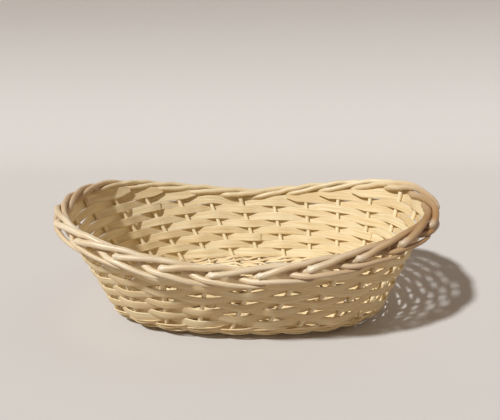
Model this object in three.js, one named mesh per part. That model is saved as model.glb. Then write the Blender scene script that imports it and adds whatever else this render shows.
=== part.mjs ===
// Oval storage basket of peeled willow, open at the top.
// Lengths in mm, +Z up, long side along X, underside at Z = 0.
// Round rods cross the base, turn up as stakes and end in the plaited border.
// Flat split chips are woven over and under the rods, one chip to a row.
import * as THREE from "three";

// Border centre line: oval half sizes, height at the side middles, rise to the two ends
const RIM_HALF_LENGTH = 177.5;
const RIM_HALF_WIDTH = 112;
const RIM_HEIGHT = 86;
const END_RISE = 28;
const RISE_POWER = 1.4;
const OVAL_POWER = 2.54;

// Oval where the straight wall, carried down, would meet the base
const FOOT_HALF_LENGTH = 136.5;
const FOOT_HALF_WIDTH = 74.5;
// From that oval to either end of the bend between base and wall
const TURN_LENGTH = 17;

// Rods
const STAKES = 24;
const STAKE_PHASE = 0.4;
// The plait pulls the top of each stake along the rim by this many stake spacings
const STAKE_LEAN = 0.85;
const CROSS_STAKES = 3;
const LONG_FEET = [5, 8];
const ROD_DIAMETER = 5.4;
const TIP_DIAMETER = 2.2;
const ROD_SIDES = 6;

// Chips
const CHIP_THICKNESS = 1.2;
const WALL_ROWS = 8;
const PACK_ROWS = 3;
// Stakes that the lowest packing row passes on each side of an end's middle, and how many fewer the next
const PACK_REACH = 4;
const PACK_STEP = 1;
// Neighbouring chips squeeze each other between the rods. At a rod each edge spreads this much further.
const CHIP_SPREAD = 1.0;
const UPSETT_ROUNDS = 3;
const BASE_ROUNDS = 5;
const OUTER_ROUNDS = 2;
const CORE_CHIPS = 6;
const CORE_HALF_WIDTH = 19.5;
// How far a chip runs on past its last rod, in stake spacings
const CHIP_TAIL = 0.3;
const CORE_TAIL = 0.12;
// Stakes at which the ends of the base rounds are lapped, in turn
const BASE_LAPS = [12, 1];

// Free gap left between neighbouring pieces
const CLEARANCE = 0.3;

// Fits that follow from the sizes above
const ROD_RADIUS = ROD_DIAMETER / 2;
const ROD_PITCH = ROD_DIAMETER + CLEARANCE;
const CHIP_OFFSET = ROD_RADIUS + CLEARANCE + CHIP_THICKNESS / 2;
const CHIP_LAP = CHIP_THICKNESS + CLEARANCE;
const BASE_MID = ROD_RADIUS + CLEARANCE + CHIP_THICKNESS;
const BORDER_DROP = 1.38 * ROD_PITCH;

// Run of one stake through the border.
// Each entry: stake spacings along the rim, outward and upward steps in rod pitches.
const BORDER_PATH = [
  [0.0, 0.0, -1.2],
  [0.06, 0.1, -0.85],
  [0.13, 0.42, -0.36],
  [0.19, 0.76, 0.06],
  [0.26, 0.84, 0.26],
  [0.5, 0.54, 0.5],
  [0.75, 0.22, 0.64],
  [1.0, -0.1, 0.68],
  [1.25, -0.38, 0.6],
  [1.5, -0.58, 0.38],
  [1.75, -0.72, 0.06],
  [2.0, -0.82, -0.32],
  [2.3, -0.74, -0.66],
  [2.6, 0.0, -0.84],
  [2.85, 0.78, -0.96],
  [3.1, 1.18, -1.12],
  [3.5, 1.22, -1.5],
  [3.85, 1.08, -1.85],
];

const WOOD = { rod: 0xd9bd8c, base: 0xcfae7c, upsett: 0xc9a672, wall: 0xdcc191, pack: 0xd5b783 };

const part = new THREE.Group();
part.name = "storage_basket";

function addMesh(name, geometry, color) {
  const material = new THREE.MeshStandardMaterial({ color, roughness: 0.65, metalness: 0 });
  const mesh = new THREE.Mesh(geometry, material);
  mesh.name = name;
  part.add(mesh);
}

// Oval of the given half sizes, walked evenly from the front middle, anticlockwise from above
function makeOval(halfLength, halfWidth) {
  const count = 2880;
  const points = [];
  const lengths = [0];
  for (let i = 0; i <= count; i += 1) {
    const angle = (i / count) * 2 * Math.PI - Math.PI / 2;
    const c = Math.cos(angle);
    const s = Math.sin(angle);
    const x = halfLength * Math.sign(c) * Math.abs(c) ** (2 / OVAL_POWER);
    const y = halfWidth * Math.sign(s) * Math.abs(s) ** (2 / OVAL_POWER);
    points.push(new THREE.Vector2(x, y));
    if (i > 0) lengths.push(lengths[i - 1] + points[i].distanceTo(points[i - 1]));
  }
  return (turn) => {
    const wanted = (turn - Math.floor(turn)) * lengths[count];
    let low = 0;
    let high = count;
    while (high - low > 1) {
      const middle = (low + high) >> 1;
      if (lengths[middle] <= wanted) low = middle;
      else high = middle;
    }
    const share = (wanted - lengths[low]) / (lengths[high] - lengths[low]);
    return points[low].clone().lerp(points[high], share);
  };
}

const rimOval = makeOval(RIM_HALF_LENGTH, RIM_HALF_WIDTH);
const footOval = makeOval(FOOT_HALF_LENGTH, FOOT_HALF_WIDTH);
const toTurn = (t) => (t + STAKE_PHASE) / STAKES;

function rimPoint(t) {
  const p = rimOval(toTurn(t));
  const rise = END_RISE * Math.abs(p.x / RIM_HALF_LENGTH) ** RISE_POWER;
  return new THREE.Vector3(p.x, p.y, RIM_HEIGHT + rise);
}

function footPoint(t) {
  const p = footOval(toTurn(t - STAKE_LEAN));
  return new THREE.Vector3(p.x, p.y, BASE_MID);
}

function runAlong(t) {
  const step = 0.02;
  const a = rimPoint(t - step).add(footPoint(t - step));
  const b = rimPoint(t + step).add(footPoint(t + step));
  return b.sub(a).setZ(0).normalize();
}

// Stakes of the cross rods come up at the long sides, the others radiate at the two ends
const HALF = STAKES / 2;
const stakeIndex = (i) => ((i % STAKES) + STAKES) % STAKES;

function crossPartner(i) {
  return stakeIndex(Math.round(HALF + 2 * (STAKE_LEAN - STAKE_PHASE)) - i);
}

function isCross(i) {
  const halfTurns = 2 * toTurn(i - STAKE_LEAN);
  return Math.abs(halfTurns - Math.round(halfTurns)) * HALF < CROSS_STAKES;
}

// The feet at each end aim at one point of the long axis, so far out that a turn of the core's half width
// round it passes the outermost cross rod with a rod's room
let outerRod = 0;
for (let i = 0; i < STAKES; i += 1) if (isCross(i)) outerRod = Math.max(outerRod, Math.abs(footPoint(i).x));
const ROUND_FOCUS = outerRod + ROD_DIAMETER + CLEARANCE - CORE_HALF_WIDTH;
const FEET_FOCUS = Math.max(FOOT_HALF_LENGTH - FOOT_HALF_WIDTH, ROUND_FOCUS);

function footDirection(i) {
  const foot = footPoint(i);
  if (isCross(i)) return foot.sub(footPoint(crossPartner(i))).normalize();
  const focus = new THREE.Vector3(Math.sign(foot.x) * FEET_FOCUS, 0, BASE_MID);
  return foot.sub(focus).normalize();
}

// A station is a point on a stake with the direction out of the wall and the one up it, square to the rows
function station(i, point, stakeDirection) {
  const along = runAlong(i);
  const out = new THREE.Vector3().crossVectors(along, stakeDirection).normalize();
  return { point, up: new THREE.Vector3().crossVectors(out, along), out };
}

// Depth in the base is counted in rounds: 0 at the bend, BASE_ROUNDS at the core
function roundPitch(i) {
  const foot = footPoint(i);
  const focus = Math.sign(foot.x) * FEET_FOCUS;
  const reach = isCross(i) ? Math.abs(foot.y) : Math.hypot(foot.x - focus, foot.y);
  return (reach - TURN_LENGTH - CORE_HALF_WIDTH) / BASE_ROUNDS;
}

function baseStation(i, depth) {
  const up = footDirection(i);
  const inward = TURN_LENGTH + depth * roundPitch(i);
  return { ...station(i, footPoint(i).addScaledVector(up, -inward), up), up };
}

function wallDirection(i) {
  return rimPoint(i).sub(footPoint(i)).normalize();
}

function wallStation(i, height) {
  const up = wallDirection(i);
  return station(i, footPoint(i).addScaledVector(up, TURN_LENGTH + height), up);
}

function turnStation(i, share) {
  const start = baseStation(i, 0).point;
  const end = wallStation(i, 0).point;
  const curve = new THREE.QuadraticBezierCurve3(start, footPoint(i), end);
  return station(i, curve.getPoint(share), curve.getTangent(share));
}

function between(a, b, share) {
  return {
    point: a.point.clone().lerp(b.point, share),
    up: a.up.clone().lerp(b.up, share).normalize(),
    out: a.out.clone().lerp(b.out, share).normalize(),
  };
}

// Closed body through a row of rings with the same number of corners
function skin(rings) {
  const sides = rings[0].length;
  const positions = [];
  const index = [];
  for (const ring of rings) for (const p of ring) positions.push(p.x, p.y, p.z);
  for (let r = 0; r + 1 < rings.length; r += 1) {
    for (let k = 0; k < sides; k += 1) {
      const a = r * sides + k;
      const b = r * sides + ((k + 1) % sides);
      index.push(a, b, b + sides, a, b + sides, a + sides);
    }
  }
  const last = (rings.length - 1) * sides;
  for (let k = 1; k + 1 < sides; k += 1) {
    index.push(0, k + 1, k);
    index.push(last, last + k, last + k + 1);
  }
  const geometry = new THREE.BufferGeometry();
  geometry.setAttribute("position", new THREE.Float32BufferAttribute(positions, 3));
  geometry.setIndex(index);
  geometry.computeVertexNormals();
  return geometry;
}

// Round rod along a line of points, with a radius at each point
function rodBody(points, radii) {
  const rings = [];
  let side = new THREE.Vector3(0, 0, 1);
  const first = points[1].clone().sub(points[0]).normalize();
  if (Math.abs(first.z) > 0.9) side = new THREE.Vector3(1, 0, 0);
  points.forEach((point, i) => {
    const before = points[Math.max(i - 1, 0)];
    const after = points[Math.min(i + 1, points.length - 1)];
    const inDirection = point.clone().sub(before);
    const outDirection = after.clone().sub(point);
    const along = inDirection.normalize().add(outDirection.normalize()).normalize();
    side = side.clone().addScaledVector(along, -side.dot(along)).normalize();
    const other = new THREE.Vector3().crossVectors(along, side);
    const ring = [];
    for (let k = 0; k < ROD_SIDES; k += 1) {
      const angle = ((k + 0.5) / ROD_SIDES) * 2 * Math.PI;
      const p = point.clone();
      p.addScaledVector(side, radii[i] * Math.cos(angle));
      p.addScaledVector(other, radii[i] * Math.sin(angle));
      ring.push(p);
    }
    rings.push(ring);
  });
  return skin(rings);
}

// Flat chip through stations, each moved out of the wall and up the wall by the given steps.
// Where it rests on a rod it runs straight across the rod's width.
function chipBody(steps, width) {
  const rings = steps.map(({ at, out = 0, up = 0, rest = false, spread = 0 }) => {
    const middle = at.point.clone().addScaledVector(at.out, out).addScaledVector(at.up, up);
    const wide = at.up.clone().multiplyScalar((width + spread) / 2);
    const thick = at.out.clone().multiplyScalar(CHIP_THICKNESS / 2);
    const along = new THREE.Vector3().crossVectors(at.up, at.out);
    const ring = (shift) => {
      const p = middle.clone().addScaledVector(along, shift);
      return [
        p.clone().sub(wide).sub(thick),
        p.clone().add(wide).sub(thick),
        p.clone().add(wide).add(thick),
        p.clone().sub(wide).add(thick),
      ];
    };
    return rest ? [ring(-ROD_RADIUS), ring(ROD_RADIUS)] : [ring(0)];
  });
  return skin(rings.flat());
}

// Stake from the base edge to its tip in the border
function stakeLine(i) {
  const points = [];
  const radii = [];
  for (const share of [0, 0.25, 0.5, 0.75, 1]) {
    points.push(turnStation(i, share).point);
    radii.push(ROD_RADIUS);
  }
  const pathEnd = BORDER_PATH[BORDER_PATH.length - 1][0];
  for (const [along, outward, upward] of BORDER_PATH) {
    const t = i + along;
    const point = rimPoint(t);
    const upright = station(t, point, wallDirection(t)).up.add(new THREE.Vector3(0, 0, 1)).normalize();
    const up = along === 0 ? wallDirection(t) : upright;
    const out = new THREE.Vector3().crossVectors(runAlong(t), up).normalize();
    point.addScaledVector(out, outward * ROD_PITCH);
    point.addScaledVector(up, upward * ROD_PITCH);
    points.push(point);
    const taper = (along / pathEnd) ** 4;
    radii.push(ROD_RADIUS + (TIP_DIAMETER / 2 - ROD_RADIUS) * taper);
  }
  return { points, radii };
}

const side = (i, row) => ((i + row) % 2 === 0 ? 1 : -1);

// Wall between the bend and the border
const wallRoom = (i) => rimPoint(i).distanceTo(footPoint(i)) - TURN_LENGTH - BORDER_DROP;

// First and last stake of a packing row, counted from the middle of its end
function packReach(m) {
  const reach = PACK_REACH - m * PACK_STEP;
  return [-Math.ceil(reach), Math.floor(reach)];
}

// Rows under the border at a stake, packing rows included
function rowsAt(i) {
  const fromMiddle = (stakeIndex(i) % HALF) - STAKES / 4;
  let rows = WALL_ROWS;
  for (let m = 0; m < PACK_ROWS; m += 1) {
    const [first, last] = packReach(m);
    if (fromMiddle >= first && fromMiddle <= last) rows += 1;
  }
  return rows;
}

// The rows are spaced evenly at each stake, and the closest place sets the chips' width
const rowPitch = (i) => wallRoom(i) / rowsAt(i);
const rowStation = (i, row) => wallStation(i, (row + 0.5) * rowPitch(i));
let tightestRow = Infinity;
for (let i = 0; i < STAKES; i += 1) {
  const steepness = rowStation(i, 0).up.dot(wallDirection(i));
  tightestRow = Math.min(tightestRow, rowPitch(i) * steepness);
}
const CHIP_WIDTH = tightestRow - 2.5 * CLEARANCE;

// A row's chip spreads at each rod, but not towards the bend below the first row or the border
function spreadRow(steps, row) {
  const spread = [];
  steps.forEach((step, n) => {
    const before = steps[n - 1];
    if (before && before.rest && step.rest) {
      spread.push({ at: between(before.at, step.at, 0.5), out: (before.out + step.out) / 2 });
    }
    if (step.rest) {
      const low = row > 0 ? CHIP_SPREAD : 0;
      const high = row + 1 < rowsAt(step.stake) ? CHIP_SPREAD : 0;
      spread.push({ ...step, spread: low + high, up: (high - low) / 2 });
    } else {
      spread.push(step);
    }
  });
  return spread;
}

// Cross rods: each lies across the base and stands up as a stake at both long sides
let crossCount = 0;
for (let i = 0; i < STAKES; i += 1) {
  const partner = crossPartner(i);
  if (isCross(i) && footPoint(i).y < 0) {
    const front = stakeLine(i);
    const back = stakeLine(partner);
    const points = [...front.points.reverse(), ...back.points];
    const radii = [...front.radii.reverse(), ...back.radii];
    crossCount += 1;
    addMesh(`cross_rod_${crossCount}`, rodBody(points, radii), WOOD.rod);
  }
}

// End stakes: their feet radiate in the base, two at each end reaching in to the core
const footRounds = (i) => (LONG_FEET.includes(stakeIndex(i) % HALF) ? BASE_ROUNDS : OUTER_ROUNDS);
let endCount = 0;
for (let i = 0; i < STAKES; i += 1) {
  if (!isCross(i)) {
    const line = stakeLine(i);
    const foot = baseStation(i, footRounds(i)).point;
    endCount += 1;
    const points = [foot, ...line.points];
    addMesh(`end_stake_${endCount}`, rodBody(points, [ROD_RADIUS, ...line.radii]), WOOD.rod);
  }
}

// Core chips: straight chips woven along the middle of the base
const crossList = [];
for (let i = 0; i < STAKES; i += 1) if (isCross(i) && footPoint(i).y < 0) crossList.push(i);
crossList.sort((a, b) => footPoint(a).x - footPoint(b).x);
let tightestRound = Infinity;
for (let i = 0; i < STAKES; i += 1) tightestRound = Math.min(tightestRound, roundPitch(i));
const corePitch = (2 * CORE_HALF_WIDTH) / CORE_CHIPS;
const BASE_CHIP_WIDTH = Math.min(tightestRound, corePitch) - CLEARANCE;
for (let k = 0; k < CORE_CHIPS; k += 1) {
  const y = -CORE_HALF_WIDTH + (k + 0.5) * corePitch;
  const up = new THREE.Vector3(0, -1, 0);
  const out = new THREE.Vector3(0, 0, -1);
  const steps = crossList.map((i, n) => {
    const a = footPoint(i);
    const b = footPoint(crossPartner(i));
    const point = a.clone().lerp(b, (y - a.y) / (b.y - a.y));
    return { at: { point, up, out }, out: side(n, k) * CHIP_OFFSET, rest: true };
  });
  const tail = (steps[1].at.point.x - steps[0].at.point.x) * CORE_TAIL;
  const head = steps[0].at.point.clone().add(new THREE.Vector3(-tail, 0, 0));
  const end = steps[steps.length - 1].at.point.clone().add(new THREE.Vector3(tail, 0, 0));
  steps.unshift({ at: { point: head, up, out }, out: steps[0].out });
  steps.push({ at: { point: end, up, out }, out: steps[steps.length - 1].out });
  addMesh(`base_core_chip_${k + 1}`, chipBody(steps, BASE_CHIP_WIDTH), WOOD.base);
}

// One chip once round a list of stakes, its two ends lapped on the inside of the first stake
function roundChip(stakes, stationOf) {
  const count = stakes.length;
  const inner = -CHIP_OFFSET - CHIP_LAP;
  const steps = [];
  for (let n = 0; n <= count; n += 1) {
    const stake = stakes[n % count];
    const out = n === 0 ? inner : (n % 2 === 0 ? -1 : 1) * CHIP_OFFSET;
    steps.push({ at: stationOf(stake), out, rest: true, stake });
  }
  const first = steps[0].at;
  const headAt = between(first, steps[count - 1].at, CHIP_TAIL);
  const headOut = -CHIP_OFFSET + CHIP_TAIL * 2 * CHIP_OFFSET - CHIP_LAP;
  const endAt = between(first, steps[1].at, CHIP_TAIL);
  const endOut = inner + CHIP_TAIL * (CHIP_OFFSET - inner) + CHIP_LAP;
  steps.unshift({ at: headAt, out: headOut });
  steps.push({ at: endAt, out: endOut });
  return steps;
}

// Stakes in weaving order from a given one
function stakesFrom(first, keep) {
  const list = [];
  for (let n = 0; n < STAKES; n += 1) if (keep(first + n)) list.push(stakeIndex(first + n));
  return list;
}

// Base rounds: the inner ones pass only the rods that reach that far in
for (let q = 0; q < BASE_ROUNDS; q += 1) {
  const keep = (i) => isCross(i) || footRounds(i) > q;
  const stakes = stakesFrom(BASE_LAPS[q % BASE_LAPS.length], keep);
  const steps = roundChip(stakes, (i) => baseStation(i, q + 0.5));
  addMesh(`base_round_${BASE_ROUNDS - q}`, chipBody(steps, BASE_CHIP_WIDTH), WOOD.base);
}

// Upsett: pairs of narrow strands twined round the stakes where they turn up
const roundShare = 1 / UPSETT_ROUNDS;
let tightestTurn = Infinity;
for (let i = 0; i < STAKES; i += 1) {
  for (let r = 0; r < UPSETT_ROUNDS; r += 1) {
    const low = turnStation(i, r * roundShare).point;
    const high = turnStation(i, (r + 1) * roundShare).point;
    tightestTurn = Math.min(tightestTurn, low.distanceTo(high));
  }
}
// At a crossing the two strands lie one above the other, a quarter of a width clear
const STRAND_WIDTH = (tightestTurn - 3 * CLEARANCE) / 2.25;
const STRAND_LIFT = (1.25 * STRAND_WIDTH + CLEARANCE) / 2;
for (let r = 0; r < UPSETT_ROUNDS; r += 1) {
  const strandStation = (n) => turnStation(stakeIndex(n), (r + 0.5) * roundShare);
  for (const [strand, letter] of ["a", "b"].entries()) {
    const first = strand + 7 * r;
    const inside = -CHIP_OFFSET;
    const start = between(strandStation(first), strandStation(first + 1), 0.05);
    const steps = [{ at: start, out: inside }];
    for (let n = 0; n < STAKES; n += 1) {
      const at = strandStation(first + n);
      const next = strandStation(first + n + 1);
      if (n > 0) steps.push({ at, out: n % 2 === 0 ? inside : -inside, rest: true });
      steps.push({ at: between(at, next, 0.5), up: n % 2 === 0 ? -STRAND_LIFT : STRAND_LIFT });
    }
    const end = between(strandStation(first), strandStation(first - 1), 0.05);
    steps.push({ at: end, out: inside });
    addMesh(`upsett_${r + 1}${letter}`, chipBody(steps, STRAND_WIDTH), WOOD.upsett);
  }
}

// Wall rows: one chip to a row, the laps staggered round the basket
for (let row = 0; row < WALL_ROWS; row += 1) {
  const first = 10 * row + 16 + (row % 2);
  const stakes = stakesFrom(first, () => true);
  const steps = spreadRow(roundChip(stakes, (i) => rowStation(i, row)), row);
  const label = String(row + 1).padStart(2, "0");
  addMesh(`wall_row_${label}`, chipBody(steps, CHIP_WIDTH), WOOD.wall);
}

// Packing rows: short chips that raise the two ends, each shorter than the one below
for (let m = 0; m < PACK_ROWS; m += 1) {
  const row = WALL_ROWS + m;
  for (const [name, middle] of [["right", STAKES / 4], ["left", (STAKES * 3) / 4]]) {
    const [before, after] = packReach(m);
    const first = middle + before;
    const last = middle + after;
    const steps = [];
    for (let i = first; i <= last; i += 1) {
      const out = -side(i, row) * CHIP_OFFSET;
      steps.push({ at: rowStation(i, row), out, rest: true, stake: i });
    }
    const tucked = (i) => wallStation(i, wallRoom(i) - tightestRow / 2);
    const head = between(steps[0].at, tucked(first - 1), CHIP_TAIL);
    const end = between(steps[steps.length - 1].at, tucked(last + 1), CHIP_TAIL);
    steps.unshift({ at: head, out: steps[0].out });
    steps.push({ at: end, out: steps[steps.length - 1].out });
    const body = chipBody(spreadRow(steps, row), CHIP_WIDTH);
    addMesh(`pack_row_${name}_${m + 1}`, body, WOOD.pack);
  }
}

export default part;
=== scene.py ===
import math
import random

import bpy
from mathutils import Matrix, Vector


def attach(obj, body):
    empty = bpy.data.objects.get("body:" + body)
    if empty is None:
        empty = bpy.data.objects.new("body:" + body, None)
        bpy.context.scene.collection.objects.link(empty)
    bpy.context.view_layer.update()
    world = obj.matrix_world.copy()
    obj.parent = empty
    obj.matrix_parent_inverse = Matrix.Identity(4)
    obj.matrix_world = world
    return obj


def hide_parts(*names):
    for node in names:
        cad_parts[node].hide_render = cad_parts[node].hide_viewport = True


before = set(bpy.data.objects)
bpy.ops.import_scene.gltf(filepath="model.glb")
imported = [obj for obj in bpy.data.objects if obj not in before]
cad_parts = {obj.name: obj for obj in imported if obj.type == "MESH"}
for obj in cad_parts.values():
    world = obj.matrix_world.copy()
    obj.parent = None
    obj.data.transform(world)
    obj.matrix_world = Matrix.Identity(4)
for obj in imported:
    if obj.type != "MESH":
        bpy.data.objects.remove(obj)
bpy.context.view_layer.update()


# Cross rods: peeled round willow rods laid across the middle of the base and turned up at both long
# sides as stakes. The top of each stake is kinked over and plaited along the rim, over and under its
# neighbours, so the border is made of the stakes' own ends.
STAKES = 24
HALF_ROUND = STAKES // 2
# Stakes are counted from the front middle to the right, and the first cross rod ends at this one
CROSS_RODS = 6
FIRST_CROSS = -2
# Oval of the border's middle line in metres, as all sizes are, its height at the side middles, and its
# rise to the two ends, with the powers that shape the rise and the oval
RIM_HALF_LENGTH = 0.1775
RIM_HALF_WIDTH = 0.112
RIM_HEIGHT = 0.086
END_RISE = 0.028
RISE_POWER = 1.4
OVAL_POWER = 2.54
# Oval where the wall, carried down, would meet the middle of the base, the height of that middle, and the
# way from the oval to either end of the bend
FOOT_HALF_LENGTH = 0.1365
FOOT_HALF_WIDTH = 0.0745
BASE_MID = 0.0042
TURN = 0.017
# The feet at each end aim at one point of the long axis
FEET_FOCUS = FOOT_HALF_LENGTH - FOOT_HALF_WIDTH
# In stake spacings: the first stake's top past the front middle, and how far the plait draws a top along
STAKE_PHASE = 0.4
STAKE_LEAN = 0.85
# Radius of a rod in the border, in the wall and in the bend
ROD_RADIUS = 0.0030
STAKE_RADIUS = 0.0021
BEND_RADIUS = 0.0020
# Towards its tip a rod narrows by a power of the way, and the tip is cut to a blunt point
TIP_RADIUS = 0.0014
TIP_TAPER = 5
CUT_RADIUS = 0.0006
# In the border some rods are slimmer or stouter than others
STOUTNESS = (0.86, 1.06)
# Stops on a stake below the border: steps in the bend, and shares of the way up the wall
BEND_STEPS = 4
WALL_STOPS = (0.3, 0.6, 0.8)
# Run of a stake through the border: stake spacings along the rim, rod pitches outward and upward
ROD_PITCH = 0.0057
BORDER_RUN = [
    (0.0, 0.0, -1.2), (0.04, 0.42, -0.5), (0.06, 0.76, -0.08), (0.08, 0.87, 0.03), (0.26, 0.84, 0.26),
    (0.5, 0.54, 0.48), (0.75, 0.22, 0.6), (1.0, -0.1, 0.6), (1.25, -0.38, 0.47), (1.5, -0.58, 0.25),
    (1.75, -0.72, -0.02), (2.0, -0.82, -0.3), (2.3, -0.74, -0.56), (2.6, 0.0, -0.74),
    (2.85, 0.78, -0.82), (3.1, 1.17, -0.88), (3.5, 1.22, -1.14), (3.85, 1.16, -1.5), (4.08, 1.02, -1.68),
    (4.18, 0.9, -1.76),
]
# Past this place a rod strays from that run, by so many rod pitches
STRAY_FROM = 0.3
STRAY = 0.1
# Middle and reach of the crushed stretch where the rod is kinked over, in stake spacings
KINK_MIDDLE = 0.12
KINK_REACH = 0.14
# Painted shade on the border: it is darkened to tan along the right of the front, a little along the back,
# and round the left end, where it lies in shade. Middle and reach of each stretch in stake spacings, how
# deep its painted shade is, and the least anywhere
PAINTED_SHADE_STRETCHES = [(4.0, 3.9, 1.0), (11.5, 8.5, 0.28), (17.2, 2.6, 0.6)]
LEAST_PAINTED_SHADE = 0.02


def walked_oval(half_length, half_width):
    """The oval as a function of the share of its length walked from the front middle."""
    count = 2880
    power = 2 / OVAL_POWER
    points = []
    walked = [0.0]
    for n in range(count + 1):
        angle = n / count * 2 * math.pi - math.pi / 2
        c, s = math.cos(angle), math.sin(angle)
        x = math.copysign(abs(c) ** power, c) * half_length
        y = math.copysign(abs(s) ** power, s) * half_width
        points.append(Vector((x, y)))
        if n:
            walked.append(walked[-1] + (points[-1] - points[-2]).length)

    def place(turn):
        wanted = (turn - math.floor(turn)) * walked[-1]
        low, high = 0, count
        while high - low > 1:
            middle = (low + high) // 2
            low, high = (middle, high) if walked[middle] <= wanted else (low, middle)
        return points[low].lerp(points[high], (wanted - walked[low]) / (walked[high] - walked[low]))

    return place


rim_oval = walked_oval(RIM_HALF_LENGTH, RIM_HALF_WIDTH)
foot_oval = walked_oval(FOOT_HALF_LENGTH, FOOT_HALF_WIDTH)


def rim(t):
    """A point of the border's middle line. Places round the basket are counted in stakes."""
    p = rim_oval((t + STAKE_PHASE) / STAKES)
    return Vector((p.x, p.y, RIM_HEIGHT + END_RISE * abs(p.x / RIM_HALF_LENGTH) ** RISE_POWER))


def foot(t):
    """The point of the base that a stake's straight stretch comes down to."""
    p = foot_oval((t + STAKE_PHASE - STAKE_LEAN) / STAKES)
    return Vector((p.x, p.y, BASE_MID))


def run_along(t):
    """The level way that the rows run."""
    near = 0.02
    way = rim(t + near) + foot(t + near) - rim(t - near) - foot(t - near)
    return Vector((way.x, way.y, 0)).normalized()


def wall_up(t):
    """The way that a stake leans up the wall."""
    return (rim(t) - foot(t)).normalized()


def is_cross(i):
    """Whether a stake is one of the six at the middle of a long side."""
    return (i - FIRST_CROSS) % HALF_ROUND < CROSS_RODS


def cross_partner(i):
    """The stake at the other end of a cross rod."""
    return (HALF_ROUND + 1 - i) % STAKES


def square_up(t, stake_direction):
    """The way up the wall, square to the rows, and the way out of it."""
    along = run_along(t)
    out = along.cross(stake_direction).normalized()
    return out.cross(along), out


def foot_direction(i):
    """The way that a stake runs outward in the base."""
    at = foot(i)
    if is_cross(i):
        return (at - foot(cross_partner(i))).normalized()
    return (at - Vector((math.copysign(FEET_FOCUS, at.x), 0, BASE_MID))).normalized()


def bend(i, share):
    """Point and direction on a stake where it turns from the base into the wall."""
    start = foot(i) - foot_direction(i) * TURN
    end = foot(i) + wall_up(i) * TURN
    low, high = start.lerp(foot(i), share), foot(i).lerp(end, share)
    return low.lerp(high, share), (high - low).normalized()


def border_tan(t):
    """How deep the painted shade on the border is at a place."""
    tan = LEAST_PAINTED_SHADE
    for middle, reach, depth in PAINTED_SHADE_STRETCHES:
        distance = abs((t - middle + HALF_ROUND) % STAKES - HALF_ROUND)
        tan = max(tan, depth * (1 - distance / reach))
    return tan


def stake_stops(i):
    """A stake from the base edge to its tip: point, radius, and kink, painted shade and
    fresh-yellow-and-painted-light marks at each stop.
    """
    chance = random.Random(100 + i)
    stops = [(bend(i, n / BEND_STEPS)[0], BEND_RADIUS, 0.0, 0.0, 1.0) for n in range(BEND_STEPS + 1)]
    for share in WALL_STOPS:
        stops.append((bend(i, 1)[0].lerp(rim(i), share), STAKE_RADIUS, 0.0, 0.0, 1.0))
    stoutness = chance.uniform(*STOUTNESS)
    cut = BORDER_RUN[-2][0]
    for along, outward, upward in BORDER_RUN:
        t = i + along
        upright = (square_up(t, wall_up(t))[0] + Vector((0, 0, 1))).normalized()
        up = wall_up(t) if along == 0 else upright
        out = run_along(t).cross(up).normalized()
        stray = STRAY if along > STRAY_FROM else 0
        point = rim(t) + out * ((outward + chance.uniform(-stray, stray)) * ROD_PITCH)
        point += up * ((upward + chance.uniform(-stray, stray)) * ROD_PITCH)
        radius = (ROD_RADIUS + (TIP_RADIUS - ROD_RADIUS) * (along / cut) ** TIP_TAPER) * stoutness
        if along > cut:
            radius = CUT_RADIUS
        kink = max(0.0, 1 - abs(along - KINK_MIDDLE) / KINK_REACH)
        # In the border the rods are fresh yellow and lightened by painted light towards the back
        fresh = 1.0 if along == 0 else max(0.0, point.y / RIM_HALF_WIDTH)
        stops.append((point, radius, kink, border_tan(t), fresh))
    return stops


def line_mesh(name, points, starts=(), **marks):
    """Lines of points as a mesh, with a named value at each point for the node tree."""
    mesh = bpy.data.meshes.new(name)
    joined = [(n - 1, n) for n in range(1, len(points)) if n not in starts]
    mesh.from_pydata([p[:] for p in points], joined, [])
    for mark, values in marks.items():
        if isinstance(values[0], Vector):
            kept = mesh.attributes.new(mark, "FLOAT_VECTOR", "POINT")
            kept.data.foreach_set("vector", [c for v in values for c in v])
        else:
            mesh.attributes.new(mark, "FLOAT", "POINT").data.foreach_set("value", values)
    return mesh


def rod_line(name, stops):
    """A rod's line through its stops."""
    points, radii, kinks, tans, fresh = zip(*stops)
    return line_mesh(name, points, thick=radii, kink=kinks, tan=tans, fresh=fresh)


def add(tree, kind, inputs=None, **settings):
    """Adds one node with its settings, and links or sets its inputs."""
    node = tree.nodes.new(kind)
    for key, value in settings.items():
        setattr(node, key, value)
    for key, value in (inputs or {}).items():
        if isinstance(value, bpy.types.NodeSocket):
            tree.links.new(value, node.inputs[key])
        else:
            node.inputs[key].default_value = value
    return node


def linear(code):
    """An sRGB hex colour as linear red, green, blue and alpha."""
    parts = [int(code[n:n + 2], 16) / 255 for n in (1, 3, 5)]
    return [c / 12.92 if c <= 0.04045 else ((c + 0.055) / 1.055) ** 2.4 for c in parts] + [1]


# Peeled willow: the bark is stripped from the fresh rod, which leaves a smooth, faintly ribbed, satin
# skin. To the eye it is cream, with long tan streaks, a few brown flecks and pale creases at the kinks, part
# crushed fibre and part painted highlight.
peeled_willow = bpy.data.materials.new("peeled_willow")
peeled_willow.use_nodes = True
wood = peeled_willow.node_tree
grain = add(wood, "ShaderNodeAttribute", attribute_name="grain").outputs["Vector"]
tone = add(wood, "ShaderNodeAttribute", attribute_name="tone").outputs["Fac"]
kinked = add(wood, "ShaderNodeAttribute", attribute_name="kink").outputs["Fac"]
tanned = add(wood, "ShaderNodeAttribute", attribute_name="tan").outputs["Fac"]
fresh = add(wood, "ShaderNodeAttribute", attribute_name="fresh").outputs["Fac"]
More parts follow.
